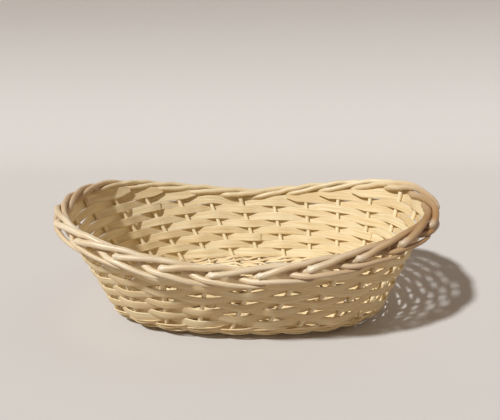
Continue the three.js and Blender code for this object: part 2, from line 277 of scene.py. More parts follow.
# Marks to a metre, along the rod and twice across it: streaks about 60 mm long and 1 mm wide, blotches
# 25 mm long and 6 mm wide, flecks 3 mm long and 1 mm wide
STREAKS = (16, 900, 900)
BLOTCHES = (40, 160, 160)
FLECKS = (330, 900, 900)
streak_at = add(wood, "ShaderNodeMapping", {"Vector": grain, "Scale": STREAKS})
streaks = add(wood, "ShaderNodeTexNoise", {"Vector": streak_at.outputs[0], "Scale": 1, "Detail": 3})
blotch_at = add(wood, "ShaderNodeMapping", {"Vector": grain, "Scale": BLOTCHES})
blotches = add(wood, "ShaderNodeTexNoise", {"Vector": blotch_at.outputs[0], "Scale": 1, "Detail": 2})
fleck_at = add(wood, "ShaderNodeMapping", {"Vector": grain, "Scale": FLECKS})
flecks = add(wood, "ShaderNodeTexNoise", {"Vector": fleck_at.outputs[0], "Scale": 1, "Detail": 1})
skin = add(wood, "ShaderNodeValToRGB", {"Fac": streaks.outputs["Fac"]})
skin.color_ramp.elements[0].position = 0.3
skin.color_ramp.elements[0].color = linear("#ddc69c")
skin.color_ramp.elements[1].position = 0.64
skin.color_ramp.elements[1].color = linear("#f5ebd5")
# A mix takes a share at input 0 and two colours at 6 and 7, and gives its colour at output 2
blotch_share = add(wood, "ShaderNodeMapRange", {"Value": blotches.outputs["Fac"], "From Min": 0.48,
                                                "From Max": 0.72, "To Max": 0.45})
blotched = add(wood, "ShaderNodeMix", {0: blotch_share.outputs[0], 6: skin.outputs[0],
                                       7: linear("#cda870")}, data_type="RGBA")
# Each rod has its own tone
tone_share = add(wood, "ShaderNodeMath", {0: tone, 1: 0.32}, operation="MULTIPLY")
toned = add(wood, "ShaderNodeMix", {0: tone_share.outputs[0], 6: blotched.outputs[2],
                                    7: linear("#c6a06c")}, data_type="RGBA")
# Below the border, and in it at the back, the rods keep the yellow of fresh wood. This is also painted
# light: it lifts the stakes out of the shade of the chips and brightens the back of the border
fresh_share = add(wood, "ShaderNodeMath", {0: fresh, 1: 0.75}, operation="MULTIPLY")
freshened = add(wood, "ShaderNodeMix", {0: fresh_share.outputs[0], 6: toned.outputs[2],
                                        7: linear("#f9eac2")}, data_type="RGBA")
# Painted shade: tan is mixed in where the border lies in shade
tan_skin = add(wood, "ShaderNodeMix", {0: tanned, 6: freshened.outputs[2], 7: linear("#a67d4c")},
               data_type="RGBA")
# Pale creases at the kinks: partly the crushed fibres' own colour, partly a painted highlight
kink_highlight_share = add(wood, "ShaderNodeMath", {0: kinked, 1: 0.5}, operation="MULTIPLY")
creased_and_highlit = add(wood, "ShaderNodeMix", {0: kink_highlight_share.outputs[0], 6: tan_skin.outputs[2],
                                      7: linear("#f7eedb")}, data_type="RGBA")
fleck_share = add(wood, "ShaderNodeMapRange", {"Value": flecks.outputs["Fac"], "From Min": 0.71,
                                               "From Max": 0.77, "To Max": 0.5})
flecked = add(wood, "ShaderNodeMix", {0: fleck_share.outputs[0], 6: creased_and_highlit.outputs[2],
                                      7: linear("#7d5a35")}, data_type="RGBA")
satin = add(wood, "ShaderNodeMapRange", {"Value": streaks.outputs["Fac"], "To Min": 0.46, "To Max": 0.3})
ribs = add(wood, "ShaderNodeBump", {"Height": streaks.outputs["Fac"], "Strength": 0.35,
                                    "Distance": 0.0003})
rod_shader = wood.nodes["Principled BSDF"]
rod_shader.inputs["IOR"].default_value = 1.5
wood.links.new(flecked.outputs[2], rod_shader.inputs["Base Color"])
wood.links.new(satin.outputs[0], rod_shader.inputs["Roughness"])
wood.links.new(ribs.outputs[0], rod_shader.inputs["Normal"])


def new_tree(name, inputs, result):
    """A node tree with named inputs and one result, and the sockets that give the inputs."""
    tree = bpy.data.node_groups.new(name, "GeometryNodeTree")
    for label, kind in inputs.items():
        tree.interface.new_socket(label, in_out="INPUT", socket_type="NodeSocket" + kind)
    tree.interface.new_socket(result, in_out="OUTPUT", socket_type="NodeSocketGeometry")
    return tree, add(tree, "NodeGroupInput").outputs


def measured_line(tree, given):
    """The line as a smooth curve of even rings, each with its place along the fibre."""
    curve = add(tree, "GeometryNodeMeshToCurve", {"Mesh": given["Line"]})
    smooth = add(tree, "GeometryNodeCurveSplineType", {"Curve": curve.outputs[0]}, spline_type="CATMULL_ROM")
    rings = add(tree, "GeometryNodeResampleCurve", {"Curve": smooth.outputs[0],
                                                    "Length": given["Ring spacing"]}, mode="LENGTH")
    walked = add(tree, "GeometryNodeSplineParameter")
    shifted = add(tree, "ShaderNodeMath", {0: walked.outputs["Length"], 1: given["Seed"]}, operation="ADD")
    return add(tree, "GeometryNodeStoreNamedAttribute", {"Geometry": rings.outputs[0], "Name": "along",
                                                         "Value": shifted.outputs[0]})


def finish_tree(tree, given, shape, fibre):
    """Keeps the fibre's run and the piece's tone for the finish, and makes one smooth mesh of it."""
    grained = add(tree, "GeometryNodeStoreNamedAttribute", {"Geometry": shape.outputs[0], "Name": "grain",
                                                            "Value": fibre.outputs[0]},
                  data_type="FLOAT_VECTOR")
    tinted = add(tree, "GeometryNodeStoreNamedAttribute", {"Geometry": grained.outputs[0], "Name": "tone",
                                                           "Value": given["Tone"]})
    smooth = add(tree, "GeometryNodeSetShadeSmooth", {"Geometry": tinted.outputs[0]})
    whole = add(tree, "GeometryNodeRealizeInstances", {"Geometry": smooth.outputs[0]})
    finished = add(tree, "GeometryNodeSetMaterial", {"Geometry": whole.outputs[0],
                                                     "Material": given["Finish"]})
    add(tree, "NodeGroupOutput", {0: finished.outputs[0]})


# The rod tree sweeps a circle along a stake's line, with the radius given at each point
rod_tree, given = new_tree("peeled rod", {
    "Line": "Geometry", "Ring spacing": "Float", "Sides": "Int", "Unevenness": "Float", "Crumple": "Float",
    "Seed": "Float", "Tone": "Float", "Finish": "Material"}, "Rod")
measured = measured_line(rod_tree, given)
circle = add(rod_tree, "GeometryNodeCurvePrimitiveCircle", {"Resolution": given["Sides"], "Radius": 1.0},
             mode="RADIUS")
place = add(rod_tree, "GeometryNodeInputPosition")
section = add(rod_tree, "GeometryNodeStoreNamedAttribute", {"Geometry": circle.outputs[0], "Name": "ring",
                                                            "Value": place.outputs[0]},
              data_type="FLOAT_VECTOR")
thick = add(rod_tree, "GeometryNodeInputNamedAttribute", {"Name": "thick"})
swept = add(rod_tree, "GeometryNodeCurveToMesh", {"Curve": measured.outputs[0],
                                                  "Profile Curve": section.outputs[0],
                                                  "Scale": thick.outputs["Attribute"], "Fill Caps": True})
along = add(rod_tree, "GeometryNodeInputNamedAttribute", {"Name": "along"})
ring = add(rod_tree, "GeometryNodeInputNamedAttribute", {"Name": "ring"}, data_type="FLOAT_VECTOR")
round_at = add(rod_tree, "ShaderNodeVectorMath", {0: ring.outputs["Attribute"], "Scale": ROD_RADIUS},
               operation="SCALE")
parts = add(rod_tree, "ShaderNodeSeparateXYZ", {0: round_at.outputs[0]})
fibre = add(rod_tree, "ShaderNodeCombineXYZ", {"X": along.outputs["Attribute"], "Y": parts.outputs["X"],
                                               "Z": parts.outputs["Y"]})
# Swellings about 20 mm long, so 50 to a metre
SWELLINGS = 50
swell = add(rod_tree, "ShaderNodeTexNoise", {"Vector": fibre.outputs[0], "Scale": SWELLINGS, "Detail": 2})
swell_mid = add(rod_tree, "ShaderNodeMath", {0: swell.outputs["Fac"], 1: 0.5}, operation="SUBTRACT")
swell_size = add(rod_tree, "ShaderNodeMath", {0: swell_mid.outputs[0], 1: given["Unevenness"]},
                 operation="MULTIPLY")
# Broken fibres at the kink, in lumps about 3 mm long, so 330 to a metre
LUMPS = 330
kink = add(rod_tree, "GeometryNodeInputNamedAttribute", {"Name": "kink"})
lumps = add(rod_tree, "ShaderNodeTexNoise", {"Vector": fibre.outputs[0], "Scale": LUMPS, "Detail": 1})
lump_mid = add(rod_tree, "ShaderNodeMath", {0: lumps.outputs["Fac"], 1: 0.5}, operation="SUBTRACT")
lump_most = add(rod_tree, "ShaderNodeMath", {0: kink.outputs["Attribute"], 1: given["Crumple"]},
                operation="MULTIPLY")
pushed = add(rod_tree, "ShaderNodeMath", {0: lump_mid.outputs[0], 1: lump_most.outputs[0],
                                          2: swell_size.outputs[0]}, operation="MULTIPLY_ADD")
facing = add(rod_tree, "GeometryNodeInputNormal")
push = add(rod_tree, "ShaderNodeVectorMath", {0: facing.outputs["Normal"], "Scale": pushed.outputs[0]},
           operation="SCALE")
uneven = add(rod_tree, "GeometryNodeSetPosition", {"Geometry": swept.outputs[0],
                                                   "Offset": push.outputs[0]})
finish_tree(rod_tree, given, uneven, fibre)


def grow(name, line, tree, sizes, node):
    """Runs a tree on a line, keeps the result as a plain mesh, hangs the piece on the root body and hides
    its solid.
    """
    piece = bpy.data.objects.new(name, line)
    bpy.context.scene.collection.objects.link(piece)
    maker = piece.modifiers.new("make", "NODES")
    maker.node_group = tree
    for socket in tree.interface.items_tree:
        if socket.name in sizes:
            maker[socket.identifier] = sizes[socket.name]
    seen = piece.evaluated_get(bpy.context.evaluated_depsgraph_get())
    mesh = bpy.data.meshes.new_from_object(seen)
    piece.modifiers.remove(maker)
    piece.data = mesh
    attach(piece, "root")
    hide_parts(node)


def rod_sizes(number):
    """What the tree needs for a rod. Each has a number of its own, which gives its fibre and its tone."""
    chance = random.Random(500 + number)
    return {"Ring spacing": 0.0009, "Sides": 16, "Unevenness": 0.0006, "Crumple": 0.0042,
            "Seed": chance.uniform(0, 40), "Tone": chance.uniform(0, 1), "Finish": peeled_willow}


cross_stakes = [i for i in range(STAKES) if is_cross(i) and foot(i).y < 0]
for number, i in enumerate(cross_stakes, 1):
    stops = stake_stops(i)[::-1] + stake_stops(cross_partner(i))
    grow(f"rod_across_{number}", rod_line(f"rod_line_{number}", stops), rod_tree, rod_sizes(number),
         f"cross_rod_{number}")


# End stakes: rods of the same kind whose cut feet radiate in the two round ends of the base. Two at each
# end reach in to the core. They turn up between the chips and join the same plait along the rim.
BASE_ROUNDS = 5
CORE_HALF_WIDTH = 0.0195
# Stakes in a half round whose feet pass all the rounds, and how many rounds the other feet pass
LONG_FEET = (5, 8)
OUTER_ROUNDS = 2


def foot_rounds(i):
    """How many of the base's rounds, counted from the bend, an end stake's foot passes."""
    return BASE_ROUNDS if i % HALF_ROUND in LONG_FEET else OUTER_ROUNDS


def round_pitch(i):
    """The width of a round in the base at a stake."""
    at = foot(i)
    focus = math.copysign(FEET_FOCUS, at.x)
    reach = abs(at.y) if is_cross(i) else math.hypot(at.x - focus, at.y)
    return (reach - TURN - CORE_HALF_WIDTH) / BASE_ROUNDS


def base_point(i, depth):
    """A point of a stake in the base, so many rounds in from the bend."""
    return foot(i) - foot_direction(i) * (TURN + depth * round_pitch(i))


end_stakes = [i for i in range(STAKES) if not is_cross(i)]
for number, i in enumerate(end_stakes, 1):
    stops = [(base_point(i, foot_rounds(i)), STAKE_RADIUS, 0.0, 0.0, 1.0), *stake_stops(i)]
    grow(f"stake_at_end_{number}", rod_line(f"stake_line_{number}", stops), rod_tree,
         rod_sizes(20 + number), f"end_stake_{number}")


# Base core: straight flat chips split from thicker willow, woven over and under the cross rods along the
# middle of the base. Their ends stop just past the outer rods.
CORE_CHIPS = 6
CORE_PITCH = 2 * CORE_HALF_WIDTH / CORE_CHIPS
BASE_CHIP_WIDTH = 0.0060
CHIP_THICKNESS = 0.0012
# How far a chip lies off the middle of a rod, and how far it goes past the last one, in rod spacings
CHIP_LIE = 0.0036
CORE_TAIL = 0.12

# Split willow: a chip is riven along the fibre and shaved flat, which leaves a dull face with fine long
# fibre lines. To the eye it is a warm matte cream with thin tan lines and paler scraped patches.
split_willow = bpy.data.materials.new("split_willow")
split_willow.use_nodes = True
wood = split_willow.node_tree
grain = add(wood, "ShaderNodeAttribute", attribute_name="grain").outputs["Vector"]
tone = add(wood, "ShaderNodeAttribute", attribute_name="tone").outputs["Fac"]
# Marks to a metre, along the chip, across it and through it: fibre lines about 50 mm long and 1.2 mm wide,
# drawn coarser than real ones so that they show, and scraped patches 40 mm long and 8 mm wide
FIBRE_LINES = (20, 800, 400)
PATCHES = (25, 130, 130)
line_at = add(wood, "ShaderNodeMapping", {"Vector": grain, "Scale": FIBRE_LINES})
lines = add(wood, "ShaderNodeTexNoise", {"Vector": line_at.outputs[0], "Scale": 1, "Detail": 4,
                                         "Roughness": 0.6})
patch_at = add(wood, "ShaderNodeMapping", {"Vector": grain, "Scale": PATCHES})
patches = add(wood, "ShaderNodeTexNoise", {"Vector": patch_at.outputs[0], "Scale": 1, "Detail": 3})
face = add(wood, "ShaderNodeValToRGB", {"Fac": lines.outputs["Fac"]})
face.color_ramp.elements[0].position = 0.28
face.color_ramp.elements[0].color = linear("#d9bc84")
face.color_ramp.elements[1].position = 0.62
face.color_ramp.elements[1].color = linear("#f6e9c6")
patch_share = add(wood, "ShaderNodeMapRange", {"Value": patches.outputs["Fac"], "From Min": 0.45,
                                               "From Max": 0.7, "To Max": 0.6})
patched = add(wood, "ShaderNodeMix", {0: patch_share.outputs[0], 6: face.outputs[0],
                                      7: linear("#f6eac8")}, data_type="RGBA")
# Each chip has its own tone
tone_share = add(wood, "ShaderNodeMath", {0: tone, 1: 0.36}, operation="MULTIPLY")
toned = add(wood, "ShaderNodeMix", {0: tone_share.outputs[0], 6: patched.outputs[2],
                                    7: linear("#d8b47a")}, data_type="RGBA")
dull = add(wood, "ShaderNodeMapRange", {"Value": patches.outputs["Fac"], "To Min": 0.7, "To Max": 0.5})
fibres = add(wood, "ShaderNodeBump", {"Height": lines.outputs["Fac"], "Strength": 0.4, "Distance": 0.0003})
chip_shader = wood.nodes["Principled BSDF"]
chip_shader.inputs["IOR"].default_value = 1.48
wood.links.new(toned.outputs[2], chip_shader.inputs["Base Color"])
wood.links.new(dull.outputs[0], chip_shader.inputs["Roughness"])
wood.links.new(fibres.outputs[0], chip_shader.inputs["Normal"])

# The chip tree sweeps a flat section along a chip's line, with its face and its width given at each point
chip_tree, given = new_tree("split chip", {
    "Line": "Geometry", "Width": "Float", "Thickness": "Float", "Ring spacing": "Float",
    "Section points": "Int", "Camber": "Float", "Edge wander": "Float", "Seed": "Float", "Tone": "Float",
    "Finish": "Material"}, "Chip")
measured = measured_line(chip_tree, given)
face_out = add(chip_tree, "GeometryNodeInputNamedAttribute", {"Name": "face"}, data_type="FLOAT_VECTOR")
turned = add(chip_tree, "GeometryNodeSetCurveNormal", {"Curve": measured.outputs[0],
                                                       "Normal": face_out.outputs["Attribute"]}, mode="FREE")
# Section: a circle squared off to a flat bar with slightly rounded corners, by a power for each axis
SQUARED_OFF = {"X": 0.5, "Y": 0.4}
circle = add(chip_tree, "GeometryNodeCurvePrimitiveCircle", {"Resolution": given["Section points"],
                                                             "Radius": 1.0}, mode="RADIUS")
place = add(chip_tree, "GeometryNodeInputPosition")
corner = add(chip_tree, "ShaderNodeSeparateXYZ", {0: place.outputs[0]})
squared = []
for axis, power in SQUARED_OFF.items():
    size = add(chip_tree, "ShaderNodeMath", {0: corner.outputs[axis]}, operation="ABSOLUTE")
    bulge = add(chip_tree, "ShaderNodeMath", {0: size.outputs[0], 1: power}, operation="POWER")
    sign = add(chip_tree, "ShaderNodeMath", {0: corner.outputs[axis]}, operation="SIGN")
    squared.append(add(chip_tree, "ShaderNodeMath", {0: bulge.outputs[0], 1: sign.outputs[0]},
                       operation="MULTIPLY").outputs[0])
half_thick = add(chip_tree, "ShaderNodeMath", {0: given["Thickness"], 1: 0.5}, operation="MULTIPLY")
half_wide = add(chip_tree, "ShaderNodeMath", {0: given["Width"], 1: 0.5}, operation="MULTIPLY")
deep = add(chip_tree, "ShaderNodeMath", {0: squared[0], 1: half_thick.outputs[0]}, operation="MULTIPLY")
broad = add(chip_tree, "ShaderNodeMath", {0: squared[1], 1: half_wide.outputs[0]}, operation="MULTIPLY")
bar_at = add(chip_tree, "ShaderNodeCombineXYZ", {"X": deep.outputs[0], "Y": broad.outputs[0]})
marked = add(chip_tree, "GeometryNodeStoreNamedAttribute", {"Geometry": circle.outputs[0], "Name": "bar",
                                                            "Value": bar_at.outputs[0]},
             data_type="FLOAT_VECTOR")
spread = add(chip_tree, "GeometryNodeStoreNamedAttribute", {"Geometry": marked.outputs[0],
                                                            "Name": "across", "Value": squared[1]})
bar = add(chip_tree, "GeometryNodeSetPosition", {"Geometry": spread.outputs[0],
                                                 "Position": bar_at.outputs[0]})
swept = add(chip_tree, "GeometryNodeCurveToMesh", {"Curve": turned.outputs[0],
                                                   "Profile Curve": bar.outputs[0], "Fill Caps": True})
along = add(chip_tree, "GeometryNodeInputNamedAttribute", {"Name": "along"})
across = add(chip_tree, "GeometryNodeInputNamedAttribute", {"Name": "across"})
bar_place = add(chip_tree, "GeometryNodeInputNamedAttribute", {"Name": "bar"}, data_type="FLOAT_VECTOR")
bar_parts = add(chip_tree, "ShaderNodeSeparateXYZ", {0: bar_place.outputs["Attribute"]})
fibre = add(chip_tree, "ShaderNodeCombineXYZ", {"X": along.outputs["Attribute"],
                                                "Y": bar_parts.outputs["Y"], "Z": bar_parts.outputs["X"]})
# Each edge wanders by itself, in waves about 40 mm long, so 25 to a metre, and follows the given width
EDGE_WAVES = 25
edge_at = add(chip_tree, "ShaderNodeCombineXYZ", {"X": along.outputs["Attribute"],
                                                  "Y": across.outputs["Attribute"]})
wander = add(chip_tree, "ShaderNodeTexNoise", {"Vector": edge_at.outputs[0], "Scale": EDGE_WAVES,
                                               "Detail": 1})
wander_mid = add(chip_tree, "ShaderNodeMath", {0: wander.outputs["Fac"], 1: 0.5}, operation="SUBTRACT")
wander_size = add(chip_tree, "ShaderNodeMath", {0: wander_mid.outputs[0], 1: given["Edge wander"]},
                  operation="MULTIPLY")
wide = add(chip_tree, "GeometryNodeInputNamedAttribute", {"Name": "wide"})
wider = add(chip_tree, "ShaderNodeMath", {0: wide.outputs["Attribute"], 1: 1.0}, operation="SUBTRACT")
widening = add(chip_tree, "ShaderNodeMath", {0: wider.outputs[0], 1: half_wide.outputs[0],
                                             2: wander_size.outputs[0]}, operation="MULTIPLY_ADD")
edge_shift = add(chip_tree, "ShaderNodeMath", {0: widening.outputs[0], 1: across.outputs["Attribute"]},
                 operation="MULTIPLY")
downward = add(chip_tree, "ShaderNodeMath", {0: edge_shift.outputs[0], 1: -1.0}, operation="MULTIPLY")
rise = add(chip_tree, "GeometryNodeInputNamedAttribute", {"Name": "rise"}, data_type="FLOAT_VECTOR")
edge_move = add(chip_tree, "ShaderNodeVectorMath", {0: rise.outputs["Attribute"],
                                                    "Scale": downward.outputs[0]}, operation="SCALE")
# Camber: this share of it lifts the middle of the chip, and the rest lowers the edges
CROWN_SHARE = 0.4
crown = add(chip_tree, "ShaderNodeMath", {0: across.outputs["Attribute"], 1: across.outputs["Attribute"]},
            operation="MULTIPLY")
crown_low = add(chip_tree, "ShaderNodeMath", {0: CROWN_SHARE, 1: crown.outputs[0]},
                operation="SUBTRACT")
crown_size = add(chip_tree, "ShaderNodeMath", {0: crown_low.outputs[0], 1: given["Camber"]},
                 operation="MULTIPLY")
crown_move = add(chip_tree, "ShaderNodeVectorMath", {0: face_out.outputs["Attribute"],
                                                     "Scale": crown_size.outputs[0]}, operation="SCALE")
move = add(chip_tree, "ShaderNodeVectorMath", {0: edge_move.outputs[0], 1: crown_move.outputs[0]},
           operation="ADD")
shaped = add(chip_tree, "GeometryNodeSetPosition", {"Geometry": swept.outputs[0],
                                                    "Offset": move.outputs[0]})
finish_tree(chip_tree, given, shaped, fibre)


def between(a, b, share):
    """A place on the weave between two others. A place is a point, the way up the wall and the way out."""
    point, up, out = [one.lerp(other, share) for one, other in zip(a, b)]
    return point, up.normalized(), out.normalized()


def chip_line(name, *strips):
    """Chips' lines through stops: place, step outward, step upward, width factor, tilt."""
    points, faces, rises, widths, starts = [], [], [], [], []
    for stops in strips:
        starts.append(len(points))
        for (point, up, out), outward, upward, width, tilt in stops:
            points.append(point + out * outward + up * upward)
            faces.append((out * math.cos(tilt) + up * math.sin(tilt)).normalized())
            rises.append((up * math.cos(tilt) - out * math.sin(tilt)).normalized())
            widths.append(width)
    return line_mesh(name, points, starts, face=faces, rise=rises, wide=widths)


def chip_sizes(number, width, thickness, camber):
    """What the tree needs for a chip. Each has a number of its own, which gives its fibre and its tone."""
    chance = random.Random(900 + number)
    return {"Width": width, "Thickness": thickness, "Ring spacing": 0.0024, "Section points": 16,
            "Camber": camber, "Edge wander": 0.0006, "Seed": chance.uniform(0, 40),
            "Tone": chance.uniform(0, 1), "Finish": split_willow}


DOWN = Vector((0, 0, -1))
TO_FRONT = Vector((0, -1, 0))
cross_by_x = sorted(cross_stakes, key=lambda i: foot(i).x)
for k in range(CORE_CHIPS):
    y = (k + 0.5) * CORE_PITCH - CORE_HALF_WIDTH
    points = []
    for i in cross_by_x:
        a, b = foot(i), foot(cross_partner(i))
        points.append(a.lerp(b, (y - a.y) / (b.y - a.y)))
    lies = [CHIP_LIE if (n + k) % 2 == 0 else -CHIP_LIE for n in range(len(points))]
    tail = Vector(((points[1].x - points[0].x) * CORE_TAIL, 0, 0))
    points = [points[0] - tail, *points, points[-1] + tail]
    lies = [lies[0], *lies, lies[-1]]
    stops = [((point, TO_FRONT, DOWN), lie, 0, 1.0, 0) for point, lie in zip(points, lies)]
    grow(f"core_chip_{k + 1}", chip_line(f"core_line_{k + 1}", stops), chip_tree,
         chip_sizes(k, BASE_CHIP_WIDTH, CHIP_THICKNESS, 0), f"base_core_chip_{k + 1}")


# Base rounds: flat split chips woven round the core, over and under the cross rods and the feet of the
# end stakes. The two ends of each chip are lapped on the inside.
# Stakes where the rounds are lapped, by turns, the step between the lapped ends, and how far they go on
# past the stake, in stake spacings
BASE_LAPS = (12, 1)
CHIP_LAP = 0.0015
LAP_SHARE = 0.3
# The outermost round lies close to the bend. Chips are wider there and at the feet, to close the gaps.
OUTER_DEPTH = 0.35
WIDE_AT_FEET = 1.25


def lap_steps(lie):
    """Steps outward of a chip that is lapped on the inside: its head, its first stake and its tail."""
    inner = -lie - CHIP_LAP
    return (2 * LAP_SHARE - 1) * lie - CHIP_LAP, inner, inner + LAP_SHARE * (lie - inner) + CHIP_LAP


for q in range(BASE_ROUNDS):
    first = BASE_LAPS[q % len(BASE_LAPS)]
    passed = [(first + n) % STAKES for n in range(STAKES)]
    passed = [i for i in passed if is_cross(i) or foot_rounds(i) > q]
    depth = q + 0.5 if q else OUTER_DEPTH
    places = [(base_point(i, depth), foot_direction(i), DOWN) for i in passed]
    head, inner, tail = lap_steps(CHIP_LIE)
    stops = [(between(places[0], places[-1], LAP_SHARE), head, 0, 1.0, 0)]
    for n in range(len(places) + 1):
        outward = inner if n == 0 else (CHIP_LIE if n % 2 else -CHIP_LIE)
        wide = 1.0 if q and is_cross(passed[n % len(places)]) else WIDE_AT_FEET
        stops.append((places[n % len(places)], outward, 0, wide, 0))
    stops.append((between(places[0], places[1], LAP_SHARE), tail, 0, 1.0, 0))
    number = BASE_ROUNDS - q
    grow(f"round_chip_{number}", chip_line(f"round_line_{number}", stops), chip_tree,
         chip_sizes(20 + q, BASE_CHIP_WIDTH, CHIP_THICKNESS, 0), f"base_round_{number}")


# Upsett: three pairs of strands, twined round the stakes where they turn up from the base. A strand is two
# narrow split skeins, which spread at a stake and draw together between stakes. In each pair one strand
# passes outside a stake while the other passes inside, and they cross between stakes.
UPSETT_ROUNDS = 3
# Stakes from one pair's start to the next, and the gap left in a spacing where a strand starts and ends
START_STEP = 7
START_GAP = 0.05
# Places of the pairs on the bend: the first one's share of a round, and the room left over
FIRST_ROUND = 0.62
SPARE_ROUND = 0.06
# Skeins: their section, their way from the strand's middle at a stake, the share of it that is left
# between stakes, and how much they stray
SKEIN_WIDTH = 0.0025
SKEIN_THICKNESS = 0.0010
SKEIN_CAMBER = 0.0002
SKEIN_APART = 0.0023
SKEIN_PINCH = 0.5
SKEIN_SWAY = 0.0005
# Steps of a strand: off a stake, and outward and upward where it crosses its partner
STRAND_LIE = 0.0026
STRAND_SHIFT = 0.0013
STRAND_PASS = 0.0007
STRAND_LIFT = 0.0021


def bend_place(i, share):
    """A place of the weave on the bend."""
    point, direction = bend(i, share)
    return point, *square_up(i, direction)


for r in range(UPSETT_ROUNDS):
    share = (r + FIRST_ROUND) / (UPSETT_ROUNDS + SPARE_ROUND)
    places = [bend_place(i, share) for i in range(STAKES)]
    for strand, letter in enumerate("ab"):
        chance = random.Random(160 + 2 * r + strand)
        first = strand + START_STEP * r
        start, after, before = [places[(first + n) % STAKES] for n in (0, 1, -1)]
        skeins = []
        for aside in (-SKEIN_APART, SKEIN_APART):
            stops = [(between(start, after, START_GAP), -STRAND_LIE, aside, 1.0, 0)]
            for n in range(STAKES):
                at, following = places[(first + n) % STAKES], places[(first + n + 1) % STAKES]
                sway = chance.uniform(-SKEIN_SWAY, SKEIN_SWAY)
                way = 1 if n % 2 else -1
                if n:
                    stops.append((at, way * STRAND_LIE, aside + sway, 1.0, 0))
                slope = -way if r % 2 else way
                stops.append((between(at, following, 0.5), STRAND_SHIFT + way * STRAND_PASS,
                              slope * STRAND_LIFT + SKEIN_PINCH * aside + sway, 1.0, 0))
            stops.append((between(start, before, START_GAP), -STRAND_LIE, aside, 1.0, 0))
            skeins.append(stops)
        name = f"{r + 1}{letter}"
        sizes = chip_sizes(40 + 2 * r + strand, SKEIN_WIDTH, SKEIN_THICKNESS, SKEIN_CAMBER)
        grow(f"twined_strand_{name}", chip_line(f"strand_line_{name}", *skeins), chip_tree, sizes,
             f"upsett_{name}")


# Wall rows: one long flat split chip to a row, woven in front of one stake and behind the next, with its
# two ends lapped behind a stake. Neighbouring rows press on each other, so each chip is squeezed where
# they cross and lies at its full width against a stake.
WALL_ROWS = 8
# Stake behind which the lowest row is lapped, and stakes from one row's lap to the next
FIRST_LAP = 16
LAP_STEP = 10
# Packing rows at each end, and stakes from the end's middle to where the lowest of them stops
PACK_ROWS = 3
PACK_REACH = 4
# The wall's top below the border's middle line, and how far a chip lies off the middle of a stake
BORDER_DROP = 1.38 * ROD_PITCH
WALL_LIE = 0.0027
WALL_CHIP_THICKNESS = 0.0010
WALL_CHIP_CAMBER = 0.0003
ROW_WIDTH = 0.0082
# How far an edge spreads at a stake, reaches up under the border, and reaches down to the bend, and the
# width of a lapped end as a share of the chip's
SPREAD = 0.065 * ROW_WIDTH
TUCK = 0.0050
LOWER_REACH = 0.0018
LAP_WIDTH = 1.1
# The chips' lower edges stand out a little, and chips differ in tilt, height and width
TILT = 0.07
STAKE_TILT = 0.05
CROSSING_TILT = 0.04
HEIGHT_SWAY = 0.0003
WIDTHS = (0.95, 1.03)


def wall_room(t):
    """The wall's height along a stake, between the bend and the border."""
    return (rim(t) - foot(t)).length - TURN - BORDER_DROP


def pack_reach(m):
    """First and last stake of a packing row, counted from the middle of its end."""
    return m - PACK_REACH, PACK_REACH - m


def rows_at(i):
    """How many rows pass a stake, packing rows included."""
    from_middle = i % HALF_ROUND - HALF_ROUND // 2
    reaches = [pack_reach(m) for m in range(PACK_ROWS)]
    return WALL_ROWS + sum(low <= from_middle <= high for low, high in reaches)


def row_pitch(i):
    """The height of a row along a stake."""
    return wall_room(i) / rows_at(i)


def row_height(i, row):
    """The height of a row's middle above the bend, along a stake."""
    return (row + 0.5) * row_pitch(i)


def squeezed(i):
    """A chip's width factor where its neighbours press on it, square to the leaning stakes."""
    return row_pitch(i) * wall_up(i).dot(square_up(i, wall_up(i))[0]) / ROW_WIDTH


def wall_place(t, height):
    """A place of the weave so far up a stake from the bend."""
    up = wall_up(t)
    return foot(t) + up * (TURN + height), *square_up(t, up)


def at_stake(i, row, outward, chance):
    """A chip's stop where it lies on a stake: it keeps clear of the bend and of the border."""
    low = SPREAD if row > 0 else LOWER_REACH
    high = SPREAD if row + 1 < rows_at(i) else TUCK
    upward = (high - low) / 2 + chance.uniform(-HEIGHT_SWAY, HEIGHT_SWAY)
    width = (squeezed(i) + (low + high) / ROW_WIDTH) * chance.uniform(*WIDTHS)
    tilt = TILT + chance.uniform(-STAKE_TILT, STAKE_TILT)
    return wall_place(i, row_height(i, row)), outward, upward, width, tilt


def at_crossing(i, row, outward, chance):
    """A chip's stop halfway between two stakes, where it crosses its neighbours."""
    height = (row_height(i, row) + row_height(i + 1, row)) / 2
    low = 0 if row > 0 else LOWER_REACH
    high = 0 if row + 1 < min(rows_at(i), rows_at(i + 1)) else TUCK
    width = (squeezed(i) + squeezed(i + 1)) / 2 + (low + high) / ROW_WIDTH
    tilt = TILT + chance.uniform(-CROSSING_TILT, CROSSING_TILT)
    return wall_place(i + 0.5, height), outward, (high - low) / 2, width, tilt


def lapped_end(i, step, row, outward):
    """A chip's cut end, a little way from a stake towards the one before it or after it."""
    height = (1 - LAP_SHARE) * row_height(i, row) + LAP_SHARE * row_height(i + step, row)
    return wall_place(i + step * LAP_SHARE, height), outward, 0, LAP_WIDTH, TILT


for row in range(WALL_ROWS):
    chance = random.Random(40 + row)
    # One stake more on every other row, so that neighbours pass a stake on opposite sides
    first = FIRST_LAP + LAP_STEP * row + row % 2
    head, inner, tail = lap_steps(WALL_LIE)
    stops = [lapped_end(first, -1, row, head)]
    for n in range(STAKES + 1):
        outward = inner if n == 0 else (WALL_LIE if n % 2 else -WALL_LIE)
        stops.append(at_stake(first + n, row, outward, chance))
        if n < STAKES:
            stops.append(at_crossing(first + n, row, 0 if n else -CHIP_LAP / 2, chance))
    stops.append(lapped_end(first + STAKES, 1, row, tail))
    name = f"{row + 1:02d}"
    sizes = chip_sizes(60 + row, ROW_WIDTH, WALL_CHIP_THICKNESS, WALL_CHIP_CAMBER)
    grow(f"row_chip_{name}", chip_line(f"row_line_{name}", stops), chip_tree, sizes, f"wall_row_{name}")


# Packing rows: short flat chips woven above the full rows at the two ends, each shorter than the one
# below, so the rim rises to the ends. Their cut ends are tucked under the border.

# Stops on an end: share of the way to the next stake, and share of the width that is cut away there
PACK_ENDS = [(0.25, 0.15), (0.42, 0.5), (0.58, 0.85)]


